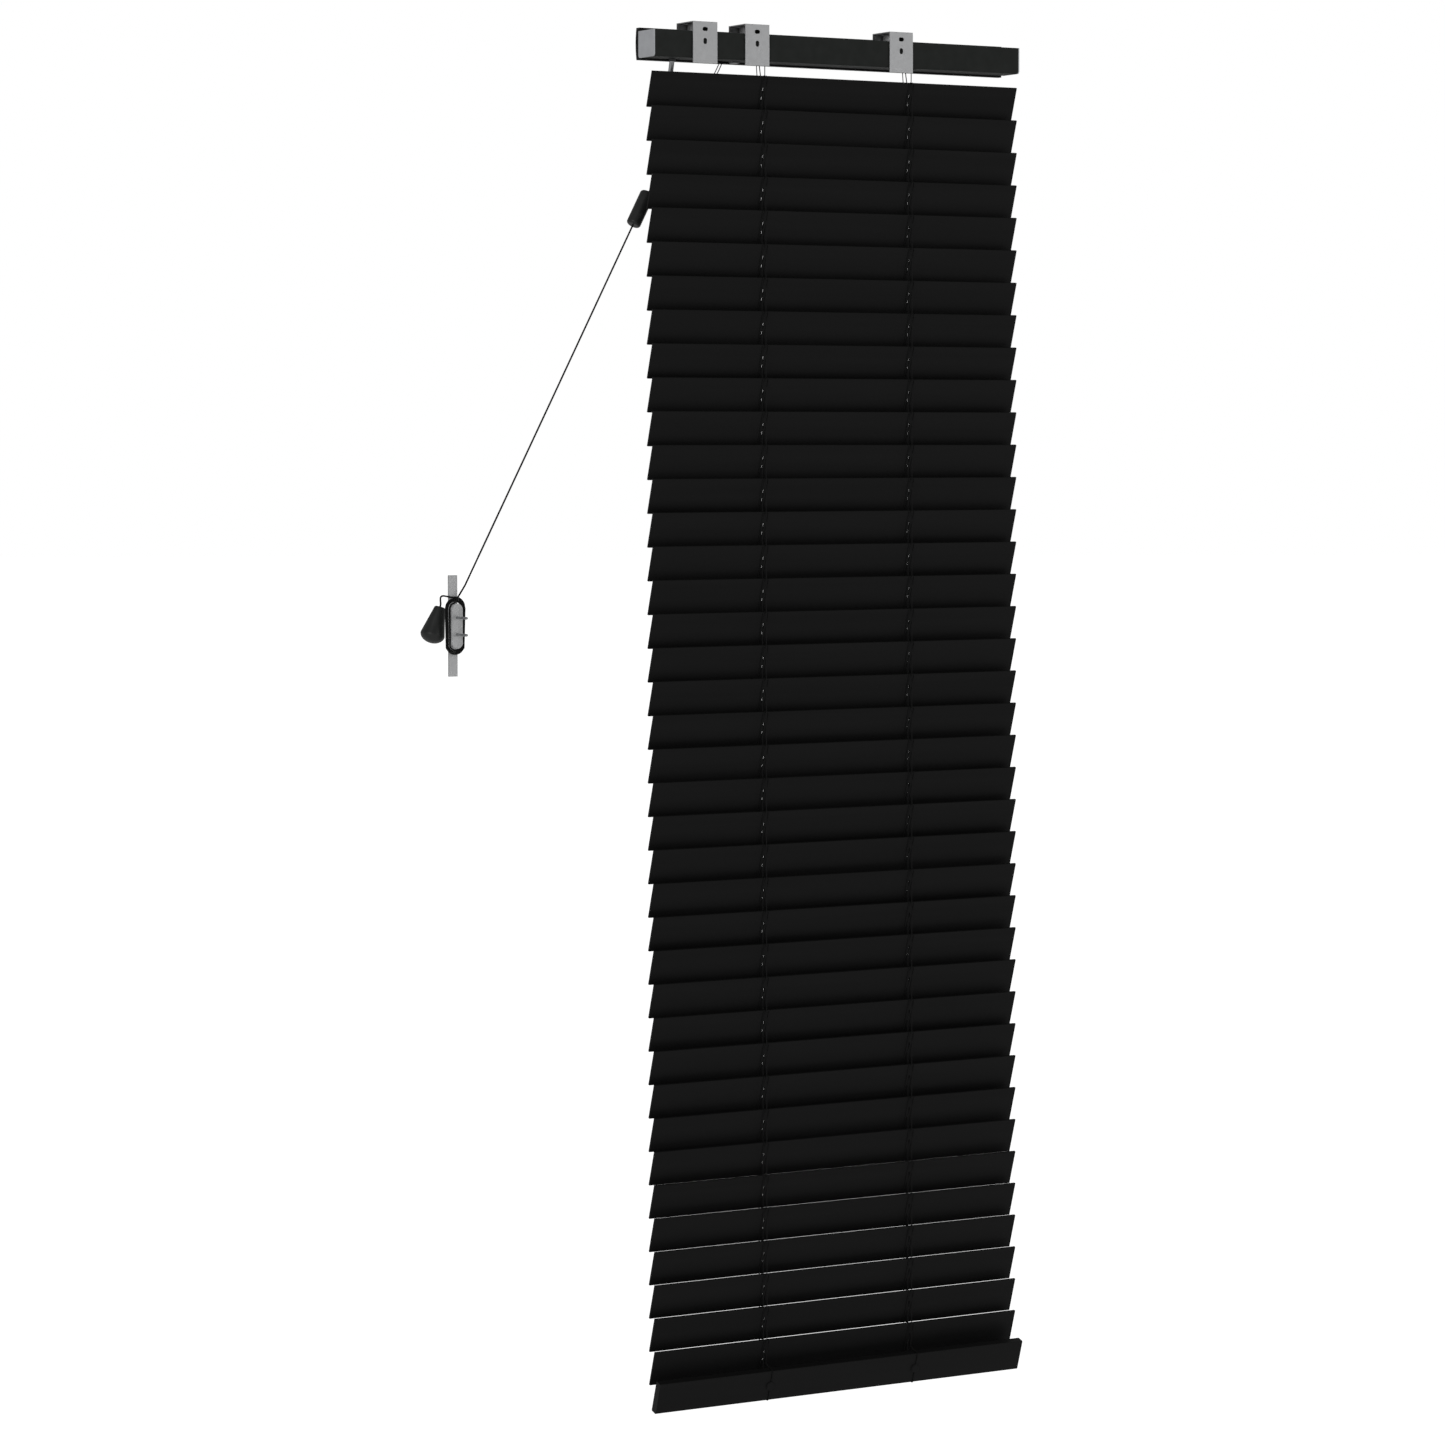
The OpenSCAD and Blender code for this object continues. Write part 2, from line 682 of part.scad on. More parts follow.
module cord_lock_roller() {
    color("#d9c9a0")
        translate(roller_seat)
            along_y() {
                cylinder(d = 3, h = lock_w + 1, center = true);
                difference() {
                    cylinder(d = 8.4, h = lock_w - 2 * lock_sheet - 1, center = true);
                    for (k = [0:11])
                        rotate(30 * k) translate([4.5, 0, 0]) cylinder(r = 0.8, h = lock_w, center = true, $fn = 24);
                }
            }
}

// Ladder cords: upright cords beside the slats' edges, each ending on the bottom rail's turning point
module ladder_pair(side) {
    top = slat_top_z + side * edge_z + 3.4;
    low = rail_z + side * edge_z;
    y = slat_y + side * (edge_y + ladder_gap);
    for (x = ladder_xs)
        cord([[x, y, top], [x, y, (top + low) / 2], [x, y, low + 20], [x, slat_y + side * edge_y, low]], ladder_d);
}

module ladder_cords_room_side() {
    color("#1c1c1c") ladder_pair(-1);
}

module ladder_cords_wall_side() {
    color("#1c1c1c") ladder_pair(1);
}

module lift_cords() {
    color("#1c1c1c") {
        cord(LIFT_NEAR, lift_d);
        cord(LIFT_FAR, lift_d);
    }
}

// Turns a piece drawn along Z so that its Z runs down the pull cord
module on_pull_line() {
    a = acos(pull_dir[2]);
    b = atan2(pull_dir[1], pull_dir[0]);
    translate(connector_mid) rotate([0, a, b]) children();
}

module cord_connector() {
    half = connector_l / 2;
    r = connector_d / 2;
    color("#1f1f1f")
        on_pull_line()
            difference() {
                rotate_extrude()
                    difference() {
                        union() {
                            translate([0, -half]) square([r - connector_round, connector_l]);
                            translate([0, -half + connector_round]) square([r, connector_l - 2 * connector_round]);
                            for (s = [-1, 1])
                                translate([r - connector_round, s * (half - connector_round)]) circle(r = connector_round);
                        }
                        translate([-2 * r, -half]) square([2 * r, connector_l]);
                    }
                translate([0, 0, -half - 1]) cylinder(d = 6.4, h = half + 5);
                cylinder(d = pull_d + 0.6, h = half + 1);
            }
}

module pull_cord() {
    color("#141414") cord(PULL_ROUTE, pull_d);
}

// Tassel: a weighted drop with a flat shoulder and a round bottom, leaning as it hangs by the cleat
module tassel() {
    r = tassel_d / 2;
    round_h = 12;
    bottom = [for (a = [0:10:90]) [r * cos(a), round_h - tassel_h - round_h * sin(a)]];
    color("#1e1f1e")
        translate(tassel_top) rotate([0, -tassel_lean, 0])
            difference() {
                rotate_extrude($fn = 64) polygon(concat([[0, 0], [6, 0], [7.3, -1.2]], bottom));
                translate([0, 0, -14]) cylinder(d = pull_d + 1.2, h = 16);
            }
}

// Cleat: a foot on the wall, a waist for the cord, and two horns
module upright(l, w, from, t) {
    translate([0, -from, 0]) along_y() linear_extrude(height = t) rotate(90) slot_2d(l, w);
}

module cord_cleat() {
    foot_t = 3;
    waist_t = 9;
    color("#b9babc", 0.8)
        translate(cleat_mid)
            difference() {
                union() {
                    upright(foot_h, foot_w, 0, foot_t);
                    upright(foot_h - 4, foot_w - 4, foot_t, waist_t);
                    translate([-horn_w / 2, -foot_t - waist_t - horn_t, -cleat_l / 2]) cube([horn_w, horn_t, cleat_l]);
                }
                for (s = [-1, 1])
                    translate([0, 1, s * screw_gap / 2]) along_y() {
                        cylinder(d = screw_d + 0.4, h = 20);
                        translate([0, 0, 9]) cylinder(d = 8, h = 20);
                    }
            }
}

module cleat_screws() {
    color("#c8c9cb")
        for (s = [-1, 1])
            translate(cleat_mid + [0, 0, s * screw_gap / 2]) rotate([-90, 0, 0]) {
                translate([0, 0, -8.1]) cylinder(d = screw_d - 0.9, h = 8.7);
                translate([0, 0, 0.5]) cylinder(d = screw_d, h = screw_out - 3.5);
                translate([0, 0, screw_out - 3]) cylinder(d1 = screw_d, d2 = 0.6, h = 3);
                translate([0, 0, -10.55]) cylinder(d = 7, h = 2.5);
            }
}

for (i = [1:slat_count])
    slat(i);
bottom_rail();
headrail();
valance();
headrail_end_caps();
wall_brackets();
tilt_rod();
ladder_drums_and_worm_wheel();
drum_cradles();
tilter_housing();
tilter_worm();
tilt_wand();
cord_lock();
cord_lock_roller();
ladder_cords_room_side();
ladder_cords_wall_side();
lift_cords();
cord_connector();
pull_cord();
tassel();
cord_cleat();
cleat_screws();
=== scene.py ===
# %% [markdown]
# # A venetian blind, seen from the wall it hangs on
# The frame holds every hard piece at its real size. This file adds the camera and light, the cords in
# their braid, the ladders' ties and rungs, and a finish for each piece. All of it is in metres, in the
# frame's axes: X along the slats, Y into the wall, Z up. The cords' points alone are in millimetres.

# %% Load the frame
import json
import math
import bpy
import numpy as np
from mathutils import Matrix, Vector


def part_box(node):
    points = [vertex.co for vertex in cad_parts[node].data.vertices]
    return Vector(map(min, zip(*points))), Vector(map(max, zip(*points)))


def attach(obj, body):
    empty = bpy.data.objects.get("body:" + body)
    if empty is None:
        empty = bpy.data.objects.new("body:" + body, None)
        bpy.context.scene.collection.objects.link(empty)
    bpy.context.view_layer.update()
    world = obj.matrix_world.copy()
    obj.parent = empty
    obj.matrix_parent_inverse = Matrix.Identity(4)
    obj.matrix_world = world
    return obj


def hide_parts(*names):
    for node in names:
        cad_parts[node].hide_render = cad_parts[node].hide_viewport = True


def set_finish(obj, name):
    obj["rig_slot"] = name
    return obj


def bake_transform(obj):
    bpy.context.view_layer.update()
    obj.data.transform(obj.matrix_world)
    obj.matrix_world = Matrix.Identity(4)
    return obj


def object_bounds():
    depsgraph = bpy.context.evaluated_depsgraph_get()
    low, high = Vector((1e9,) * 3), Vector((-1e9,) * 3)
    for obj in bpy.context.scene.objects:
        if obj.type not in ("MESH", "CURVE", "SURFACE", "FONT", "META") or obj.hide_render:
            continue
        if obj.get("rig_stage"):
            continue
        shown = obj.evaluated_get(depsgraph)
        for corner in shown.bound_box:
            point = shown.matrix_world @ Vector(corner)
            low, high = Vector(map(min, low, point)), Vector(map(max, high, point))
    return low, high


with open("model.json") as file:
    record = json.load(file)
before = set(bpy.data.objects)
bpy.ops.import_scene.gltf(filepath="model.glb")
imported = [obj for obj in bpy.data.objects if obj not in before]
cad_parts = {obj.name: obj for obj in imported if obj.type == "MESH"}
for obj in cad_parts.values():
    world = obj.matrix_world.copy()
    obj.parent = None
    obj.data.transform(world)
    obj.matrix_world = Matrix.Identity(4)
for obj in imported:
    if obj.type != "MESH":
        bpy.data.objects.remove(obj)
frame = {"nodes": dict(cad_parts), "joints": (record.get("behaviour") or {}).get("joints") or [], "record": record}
nodes = frame["nodes"]
cad_low, cad_high = (list(v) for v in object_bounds())
MM = 0.001
print("frame:", len(nodes), "nodes, from", cad_low, "to", cad_high)

# %% Where the slats turn
hinge = {j["child"]: np.array(j["pos_m"]) for j in frame["joints"] if j["type"] == "hinge"}
slat_names = sorted(n for n in nodes if n.startswith("slat_"))
SLAT_WIDTH = 0.050
SLAT_THICKNESS = 0.0028
top_axis = hinge[slat_names[0]]
rail_axis = hinge["bottom_rail"]
wall_edge = hinge["wall_side_ladders"]
closed = math.atan2(wall_edge[2] - top_axis[2], wall_edge[1] - top_axis[1])
across = np.array([0, math.cos(closed), math.sin(closed)])
outward = np.array([0, -math.sin(closed), math.cos(closed)])
mid_x = float((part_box("bottom_rail")[0].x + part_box("bottom_rail")[1].x) / 2)
LADDER_SPACING = 0.240
ladder_xs = (mid_x + LADDER_SPACING / 2, mid_x - LADDER_SPACING / 2)
print("slats:", len(slat_names), "closed at", round(math.degrees(closed), 1), "degrees")
print("ladders at", ladder_xs)

# %% [markdown]
# ## Camera
# The blind is looked at from the wall's side, a little from the control end and level with the upper
# slats, by a long lens. The camera leans down a little and its picture is shifted a little, so the tall
# blind fits in and its uprights stay nearly upright.

# %% Camera
LENS_MM, SENSOR_MM = 112.786, 36
PICTURE_SHIFT = -0.05
FARTHEST_SEEN = 60.0
CAMERA_PLACE = (3.2944, 5.3530, -0.5768)
PITCH, ROLL, HEADING = (math.radians(angle) for angle in (87.497, 0.084, 149.432))
cam_data = bpy.data.cameras.new("camera")
cam_data.lens, cam_data.sensor_width = LENS_MM, SENSOR_MM
cam_data.shift_y, cam_data.clip_end = PICTURE_SHIFT, FARTHEST_SEEN
camera = bpy.data.objects.new("camera", cam_data)
bpy.context.scene.collection.objects.link(camera)
camera.location = CAMERA_PLACE
camera.rotation_euler = (PITCH, ROLL, HEADING)
bpy.context.scene.camera = camera
print("camera:", tuple(round(c, 3) for c in camera.location), "lens", cam_data.lens)

# %% [markdown]
# ## A cord as a swept tube
# A cord is round and braided. A ring of points is carried along its line, and each ring is turned as
# little as possible from the one before, so that the braid does not twist. The UV map counts turns across
# and metres along.


# %% Tubes
UNEVEN = 3


def smooth(points, step=0.004):
    """Points along a line through the given ones.

    Each stretch is a cubic whose end slopes come from the neighbours. A stretch much longer or
    shorter than its neighbours stays straight, so that a long run does not bulge.
    """
    p = np.asarray(points, float)
    d = np.diff(p, axis=0)
    slope = np.vstack([d[:1], (d[:-1] + d[1:]) / 2, d[-1:]])
    out = []
    for i, stretch in enumerate(d):
        size = np.linalg.norm(stretch)
        near = [np.linalg.norm(d[k]) for k in (max(i - 1, 0), min(i + 1, len(d) - 1))]
        a = slope[i] / np.linalg.norm(slope[i]) * size
        b = slope[i + 1] / np.linalg.norm(slope[i + 1]) * size
        if max(near) > UNEVEN * size or size > UNEVEN * min(near):
            a, b = stretch, stretch
        t = np.linspace(0, 1, max(1, int(math.ceil(size / step))) + 1)[:-1, None]
        out.append((2 * t**3 - 3 * t**2 + 1) * p[i] + (t**3 - 2 * t**2 + t) * a
                   + (3 * t**2 - 2 * t**3) * p[i + 1] + (t**3 - t**2) * b)
    return np.vstack(out + [p[-1:]])


def tube(points, diameter, sides=8):
    """A ring carried along the line: point + d/2 (cos a * n + sin a * t x n), with a = 2 pi u."""
    p = np.asarray(points, float)
    t = np.gradient(p, axis=0)
    t /= np.linalg.norm(t, axis=1)[:, None]
    n = np.cross(t[0], [0.31, 0.2, 0.93] if abs(t[0][2]) < 0.9 else [0.9, 0.3, 0.1])
    normals = []
    for direction in t:
        n = n - n.dot(direction) * direction
        n /= np.linalg.norm(n)
        normals.append(n)
    normals = np.array(normals)
    sideways = np.cross(t, normals)
    angle = 2 * math.pi * np.arange(sides + 1) / sides
    ring = (np.cos(angle)[None, :, None] * normals[:, None]
            + np.sin(angle)[None, :, None] * sideways[:, None])
    verts = p[:, None] + diameter / 2 * ring
    along = np.concatenate([[0], np.cumsum(np.linalg.norm(np.diff(p, axis=0), axis=1))])
    uv = np.stack(np.broadcast_arrays(np.arange(sides + 1)[None] / sides, along[:, None]), -1)
    return verts, uv


def tubes_mesh(name, tubes, slot):
    """One mesh of many tubes: the grids' quads, with a fan closing each end."""
    mesh = bpy.data.meshes.new(name)
    verts, faces, loops, base = [], [], [], 0
    for grid, uv in tubes:
        rings, sides = grid.shape[0], grid.shape[1] - 1
        index = base + np.arange(rings * sides).reshape(rings, sides)
        after = np.roll(index, -1, axis=1)
        quads = np.stack([index[:-1], after[:-1], after[1:], index[1:]], -1).reshape(-1, 4)
        corners = np.stack([uv[:-1, :-1], uv[:-1, 1:], uv[1:, 1:], uv[1:, :-1]], 2).reshape(-1, 2)
        faces += quads.tolist() + [index[0, ::-1].tolist(), index[-1].tolist()]
        loops += [corners, uv[0, :-1][::-1], uv[-1, :-1]]
        verts.append(grid[:, :-1].reshape(-1, 3))
        base += rings * sides
    mesh.from_pydata(np.vstack(verts).tolist(), [], faces)
    layer = mesh.uv_layers.new(name="braid")
    layer.data.foreach_set("uv", np.vstack(loops).astype(np.float32).ravel())
    mesh.polygons.foreach_set("use_smooth", [True] * len(mesh.polygons))
    piece = bpy.data.objects.new(name, mesh)
    bpy.context.scene.collection.objects.link(piece)
    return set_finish(piece, slot)


def length_of(points):
    return float(np.linalg.norm(np.diff(points, axis=0), axis=1).sum())


# %% [markdown]
# ## Lift cords and pull cord
# Each lift cord starts on the bottom rail, climbs through the slats' route holes, turns along the
# headrail and leaves it through the cord lock. Both end in the connector, where the one pull cord starts.
# That one runs down to the cleat, goes three times round it and ends in the tassel.

# %% Lift cords
LIFT_D, PULL_D, LADDER_D = 0.0014, 0.0024, 0.0012
rail_z = float(rail_axis[2] / MM)
LIFT_NEAR = [
    [59, -16.5, rail_z], [59, -16.5, -900], [59, -16.5, -77], [59, -17.5, -70], [59, -24, -42],
    [59, -26, -37.5], [59.5, -29, -35.6], [62, -34, -35], [68, -37.5, -34.5], [80, -39.5, -32],
    [98, -40.5, -26.5], [105, -40.5, -23.6], [109, -40.5, -22.4], [112, -40.5, -23],
    [113.6, -40.5, -25.6], [113.7, -40.5, -34], [113.8, -40.5, -43]]
LIFT_FAR = [
    [-181, -16.5, rail_z], [-181, -16.5, -900], [-181, -16.5, -77], [-181, -17.5, -70],
    [-181, -24, -42], [-181, -26, -37.5], [-180.5, -29, -35.6], [-178, -34, -35],
    [-172, -37, -34], [-150, -38, -31], [40, -38, -28], [75, -37.5, -26.5], [95, -33.5, -24.6],
    [105, -32.5, -23], [109, -32.5, -22.4], [112, -32.5, -23], [113.6, -32.5, -25.6],
    [113.7, -32.5, -34], [113.8, -32.5, -43]]
lift_runs = [np.array(route) * MM for route in (LIFT_NEAR, LIFT_FAR)]
lift_held = tubes_mesh("lift_cord_runs", [tube(smooth(run), LIFT_D) for run in lift_runs], "black_cord")
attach(lift_held, "mounted_parts")
print("lift cords:", [round(length_of(run), 3) for run in lift_runs], "m held")

# %% The two cords from the lock to the connector
PAIR_NEAR = [
    [113.8, -40.5, -43], [118.5, -45, -56], [135, -51, -83], [160, -55, -126], [190, -57, -175.5],
    [211, -57.5, -212], [224, -55.4, -234]]
PAIR_FAR = [
    [113.8, -32.5, -43], [118, -38, -56], [128, -45, -71], [140, -49, -91], [163, -53.5, -129],
    [190, -55, -174], [211, -55.6, -211], [224, -53.6, -233]]
for name, route in (("pull_pair_near", PAIR_NEAR), ("pull_pair_far", PAIR_FAR)):
    line = smooth(np.array(route) * MM, 0.003)
    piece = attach(tubes_mesh(name, [tube(line, LIFT_D)], "black_cord"), "mounted_parts")
    print(name, round(length_of(line), 3), "m")

# %% Pull cord with its turns on the cleat
CONNECTOR = np.array([231, -53.5, -244])
CLEAT = np.array([542, 0, -807])
TURN_Y, TURN_BACK_Y = -7.6, -4.4
TURN_SETTLE = 8
TURN_R, TURN_STEP, TURN_REACH, TURN_COUNT, TURN_POINTS = 8.2, 2.45, 23, 3, 14
entry = np.array([CLEAT[0] - 2, TURN_BACK_Y, CLEAT[2] + TURN_REACH + TURN_R])
pull_dir = (entry - CONNECTOR) / np.linalg.norm(entry - CONNECTOR)


def on_turn(k):
    """Point k of the turns, on a stadium: half circles above and below a straight waist.

    The radius grows by one step each turn. The first points move from TURN_BACK_Y to TURN_Y.
    """
    angle = 2 * math.pi * (k + 0.5) / TURN_POINTS
    r = TURN_R + TURN_STEP * k / TURN_POINTS
    y = TURN_BACK_Y + (TURN_Y - TURN_BACK_Y) * min(1, k / TURN_SETTLE)
    reach = math.copysign(TURN_REACH, math.cos(angle) + 1e-9)
    return [CLEAT[0] + r * math.sin(angle), y, CLEAT[2] + r * math.cos(angle) + reach]


turns = [on_turn(k) for k in range(TURN_COUNT * TURN_POINTS + 1)]
PULL = [CONNECTOR + 12 * pull_dir, CONNECTOR + 60 * pull_dir, [386, -29, -511], [527, -6.6, -753], *turns,
        [552, -12, -767.5], [554.5, -18, -767], [554.5, -24, -769], [552.6, -28.5, -773],
        [551.6, -30, -779.1], [554.5, -30, -788.7]]
pull_line = smooth(np.array(PULL) * MM, 0.002)
pull_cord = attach(tubes_mesh("pull_cord_braid", [tube(pull_line, PULL_D, 10)], "black_cord"),
                    "mounted_parts")
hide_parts("lift_cords")
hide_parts("pull_cord")
print("pull cord:", round(length_of(pull_line), 3), "m")

# %% [markdown]
# ## Ladders
# A ladder is two upright cords with a pair of rungs for each slat. The uprights keep beside the slats'
# edges, and each slat lies on its own rungs, so the rungs turn with the slat and the uprights only move
# up and down. The short tie from an upright to a slat's edge rides with the upright, because all edges
# keep their distance from it.

# %% Ladder uprights and ties
LADDER_GAP = 0.0025
TIE_D = 0.0009
half = SLAT_WIDTH / 2
for side, body in ((1, "wall_side_ladders"), (-1, "room_side_ladders")):
    edge = side * across * half
    out = np.array([0, side * LADDER_GAP, 0])
    head, foot = top_axis + edge, rail_axis + edge
    parts = []
    for x in ladder_xs:
        at = np.array([x, 0, 0])
        line = [head + at, head + at + out * 0.7 + [0, 0, -0.002],
                head + at + out + [0, 0, -0.006], foot + at + out + [0, 0, 0.02], foot + at]
        parts.append(tube(smooth(line, 0.01), LADDER_D, 8))
        for name in slat_names[1:]:
            start = hinge[name] + edge + at
            parts.append(tube([start, start + out * 0.5, start + out], TIE_D, 6))
    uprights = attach(tubes_mesh("ladder_uprights_" + body.split("_")[0], parts, "black_cord"), body)
    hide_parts("ladder_cords_" + body.split("_")[0] + "_side")
    print(uprights.name, len(parts), "tubes")

# %% Rungs under each slat
RUNG_D = 0.0008
RUNG_SPREAD = 0.0042
under = SLAT_THICKNESS / 2 + RUNG_D / 2
# From one edge of the slat to the other: across, out of its face, and the share of the spread along it.
RUNG_PROFILE = [(-half - 0.0006, 0, 0.3), (-half - 0.0003, -under * 0.8, 0.7),
                (-half + 0.002, -under, 1), (half - 0.002, -under, 1),
                (half + 0.0003, -under * 0.8, 0.7), (half + 0.0006, 0, 0.3)]
for name in slat_names:
    parts = []
    for x in ladder_xs:
        for s in (-1, 1):
            line = [hinge[name] + [x + s * spread * RUNG_SPREAD, 0, 0] + u * across + w * outward
                    for u, w, spread in RUNG_PROFILE]
            parts.append(tube(line, RUNG_D, 6))
    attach(tubes_mesh("rungs_" + name[5:], parts, "black_cord"), name)
print("rungs:", 4 * len(slat_names))

# %% [markdown]
# ## Top of the ladders
# Above the first slat each upright goes up to its drum in the headrail, as one straight stretch that stays in
# place.

# %% Top stretches
drum_axis = hinge["tilt_shaft"]
DRUM_D, TOP_POINTS = 0.024, 24
wrap_r = DRUM_D / 2 + LADDER_D / 2
for side, word in ((1, "wall"), (-1, "room")):
    low = top_axis + side * across * half
    high = np.array([0, drum_axis[1] + side * wrap_r, drum_axis[2]])
    parts = [tube(np.linspace(high + [x, 0, 0], low + [x, 0, 0], TOP_POINTS), LADDER_D, 8)
             for x in ladder_xs]
    piece = tubes_mesh("ladder_top_" + word, parts, "black_cord")
    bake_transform(piece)
print("ladder tops start at the drums,", round(wrap_r, 4), "m off their axis")

# %% [markdown]
# ## Cords on the bottom rail
# The ladders end round the bottom rail's edges and under its plugs, and each lift cord goes down into its hole.

# %% Rail ends of the cords
RAIL_HALF_W, RAIL_HALF_T, RAIL_HANG = 0.0225, 0.00575, 0.0138
DROP_INTO_HOLE, DROP_POINTS = 0.003, 6
clear = LADDER_D / 2 + 0.0001
beside, below = RAIL_HALF_W + clear, -RAIL_HALF_T - clear
drop_end = RAIL_HANG - RAIL_HALF_T + DROP_INTO_HOLE
parts = []
for x in ladder_xs:
    at = rail_axis + [x, 0, 0]
    for s in (-1, 1):
        path = [(s * half, RAIL_HANG), (s * (RAIL_HALF_W + 0.0012), 0.0075), (s * beside, 0.004),
                (s * beside, -0.004), (s * (RAIL_HALF_W - 0.001), below), (s * 0.015, below),
                (s * 0.0066, below)]
        line = [at + u * across + (w - RAIL_HANG) * outward for u, w in path]
        parts.append(tube(smooth(line, 0.002), LADDER_D, 8))
    drop = [at - d * outward for d in np.linspace(0, drop_end, DROP_POINTS)]
    parts.append(tube(drop, LIFT_D, 8))
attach(tubes_mesh("cord_ends_on_rail", parts, "black_cord"), "bottom_rail")
print("cord ends:", len(parts))

# %% [markdown]
# ## Finishes
# Every hard piece keeps its own mesh and gets a finish. Three effects are shared: the grain that shows
# through thin paint, the fine texture of moulded plastic, and the streaks of rolled or drawn metal. Each
# is one node group, placed with its own values.


# %% Node group helper
def new_group(name, inputs, outputs):
    """An empty node group with float inputs (name: default) and outputs (name: socket type)."""
    group = bpy.data.node_groups.new(name, "ShaderNodeTree")
    for label, value in inputs.items():
        socket = group.interface.new_socket(name=label, in_out="INPUT", socket_type="NodeSocketFloat")
        socket.default_value = value
    for label, kind in outputs.items():
        group.interface.new_socket(name=label, in_out="OUTPUT", socket_type=kind)
    return group, group.nodes.new("NodeGroupInput"), group.nodes.new("NodeGroupOutput")


def add(tree, kind, links=(), **values):
    """A node of that kind. values set its properties; links pair an input with a socket or a number."""
    node = tree.nodes.new(kind)
    for key, value in values.items():
        setattr(node, key, value)
    for slot_in, source in links:
        if isinstance(source, bpy.types.NodeSocket):
            tree.links.new(source, node.inputs[slot_in])
        else:
            node.inputs[slot_in].default_value = source
    return node


# %% Grain under paint
def grain_group():
    """Noise stretched 40 times along X for the grain, plus an even fine noise for the paint."""
    group, gin, gout = new_group("painted_grain", {"Grain Scale": 900, "Grain": 0.6},
                                 {"Height": "NodeSocketFloat", "Mask": "NodeSocketFloat"})
    place = add(group, "ShaderNodeTexCoord").outputs["Object"]
    long_way = add(group, "ShaderNodeMapping", [("Vector", place), ("Scale", (0.025, 1, 1))])
    grain = add(group, "ShaderNodeTexNoise", [
        ("Vector", long_way.outputs[0]), ("Scale", gin.outputs["Grain Scale"]), ("Detail", 5.0),
        ("Roughness", 0.6), ("Distortion", 0.4)])
    fine = add(group, "ShaderNodeTexNoise", [("Vector", place), ("Scale", 1600.0), ("Detail", 2.0)])
    mix = add(group, "ShaderNodeMix", [(0, gin.outputs["Grain"]), (2, fine.outputs[0]),
                                       (3, grain.outputs[0])])
    group.links.new(mix.outputs[0], gout.inputs["Height"])
    patches = add(group, "ShaderNodeTexNoise", [("Vector", long_way.outputs[0]), ("Scale", 60.0),
                                                ("Detail", 3.0)])
    ramp = add(group, "ShaderNodeMapRange", [("Value", patches.outputs[0]), ("From Min", 0.35),
                                             ("From Max", 0.65)])
    group.links.new(ramp.outputs[0], gout.inputs["Mask"])
    return group


def mould_group():
    """Fine spark-eroded texture from noise, with slow patches of gloss as the mask."""
    group, gin, gout = new_group("moulded_skin", {"Skin Scale": 2200},
                                 {"Height": "NodeSocketFloat", "Mask": "NodeSocketFloat"})
    place = add(group, "ShaderNodeTexCoord").outputs["Object"]
    skin = add(group, "ShaderNodeTexNoise", [("Vector", place), ("Scale", gin.outputs["Skin Scale"]),
                                             ("Detail", 3.0)])
    patches = add(group, "ShaderNodeTexNoise", [("Vector", place), ("Scale", 70.0), ("Detail", 4.0)])
    ramp = add(group, "ShaderNodeMapRange", [("Value", patches.outputs[0]), ("From Min", 0.3),
                                             ("From Max", 0.7)])
    group.links.new(skin.outputs[0], gout.inputs["Height"])
    group.links.new(ramp.outputs[0], gout.inputs["Mask"])
    return group


def metal_group():
    """Zinc spangle from cells of random tone, crossed by streaks along X from noise stretched 60 times."""
    group, gin, gout = new_group("rolled_zinc", {"Streak Scale": 1500, "Spangle": 0.5},
                                 {"Height": "NodeSocketFloat", "Mask": "NodeSocketFloat"})
    place = add(group, "ShaderNodeTexCoord").outputs["Object"]
    stretch = add(group, "ShaderNodeMapping", [("Vector", place), ("Scale", (0.016, 1, 1))])
    streak = add(group, "ShaderNodeTexNoise", [("Vector", stretch.outputs[0]),
                                               ("Scale", gin.outputs["Streak Scale"]), ("Detail", 3.0)])
    cells = add(group, "ShaderNodeTexVoronoi", [("Vector", place), ("Scale", 260.0)])
    tone = add(group, "ShaderNodeSeparateColor", [(0, cells.outputs["Color"])])
    mix = add(group, "ShaderNodeMix", [(0, gin.outputs["Spangle"]), (2, streak.outputs[0]),
                                       (3, tone.outputs[0])])
    group.links.new(streak.outputs[0], gout.inputs["Height"])
    group.links.new(mix.outputs[0], gout.inputs["Mask"])
    return group


